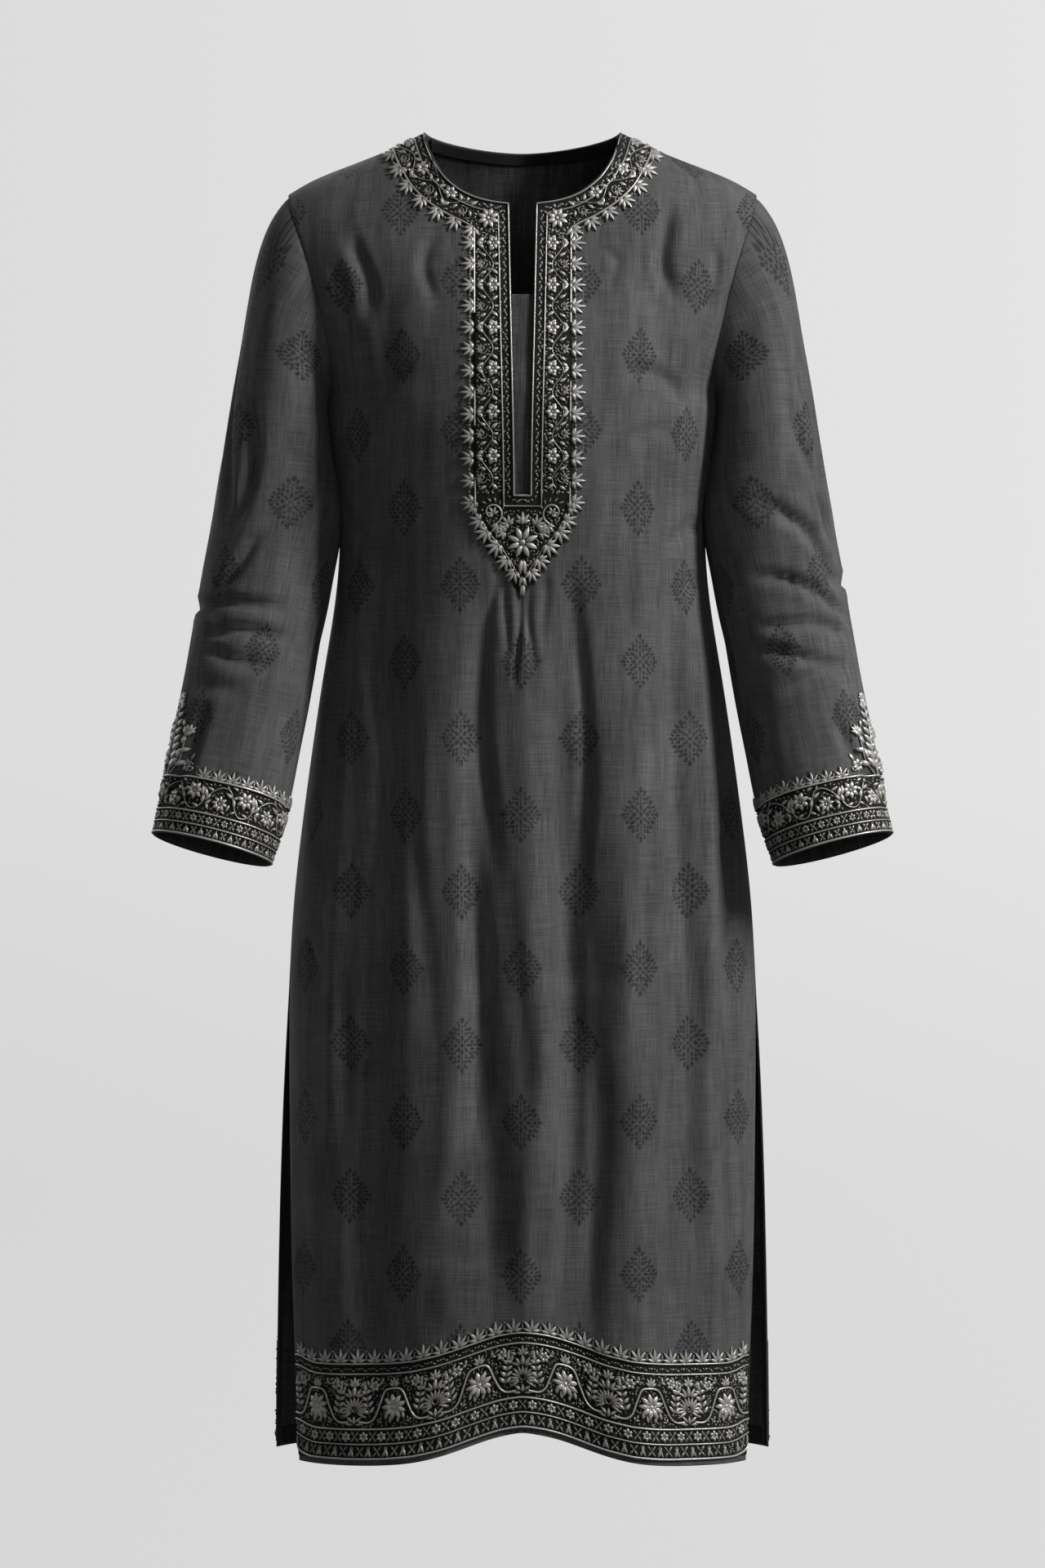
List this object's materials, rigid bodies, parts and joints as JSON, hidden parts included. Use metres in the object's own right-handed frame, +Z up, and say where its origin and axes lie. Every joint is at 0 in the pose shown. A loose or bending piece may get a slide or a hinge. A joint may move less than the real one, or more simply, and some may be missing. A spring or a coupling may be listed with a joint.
{
  "type": "kurta tunic",
  "caption": "Women's straight-cut kurta of slub linen, filled out with no wearer, with long sleeves, a front neck slit, side slits and embroidered borders at neck, cuffs and hem",
  "frame": {"origin": "on the centre line at the height of the highest point of the shoulders, where a wearer's shoulders hold the garment; it is the mount wearer_shoulders", "axes": "+X is the wearer's left, the front faces -Y, +Z is up; the hem is the lowest part"},
  "size_m": [0.6182, 0.2368, 1.1175],
  "materials": {
    "linen": "charcoal slub linen, plain weave, washed and pressed, with a small block-printed motif",
    "dark_cloth": "near-black plain-weave cotton binding and facing, pressed",
    "embroidery": "antique silver metallic-thread embroidery on a near-black ground"
  },
  "bodies": {
    "root": {"front_panel": "linen", "back_panel": "linen", "sleeve_left": "linen", "sleeve_right": "linen", "placket_underlay": "linen", "back_neck_binding": "dark_cloth", "slit_facing_left": "dark_cloth", "slit_facing_right": "dark_cloth", "back_hem_turnup": "dark_cloth", "neck_border": "embroidery", "hem_border_front": "embroidery", "hem_border_back": "embroidery", "cuff_border_left": "embroidery", "cuff_border_right": "embroidery"}
  },
  "joints": []
}
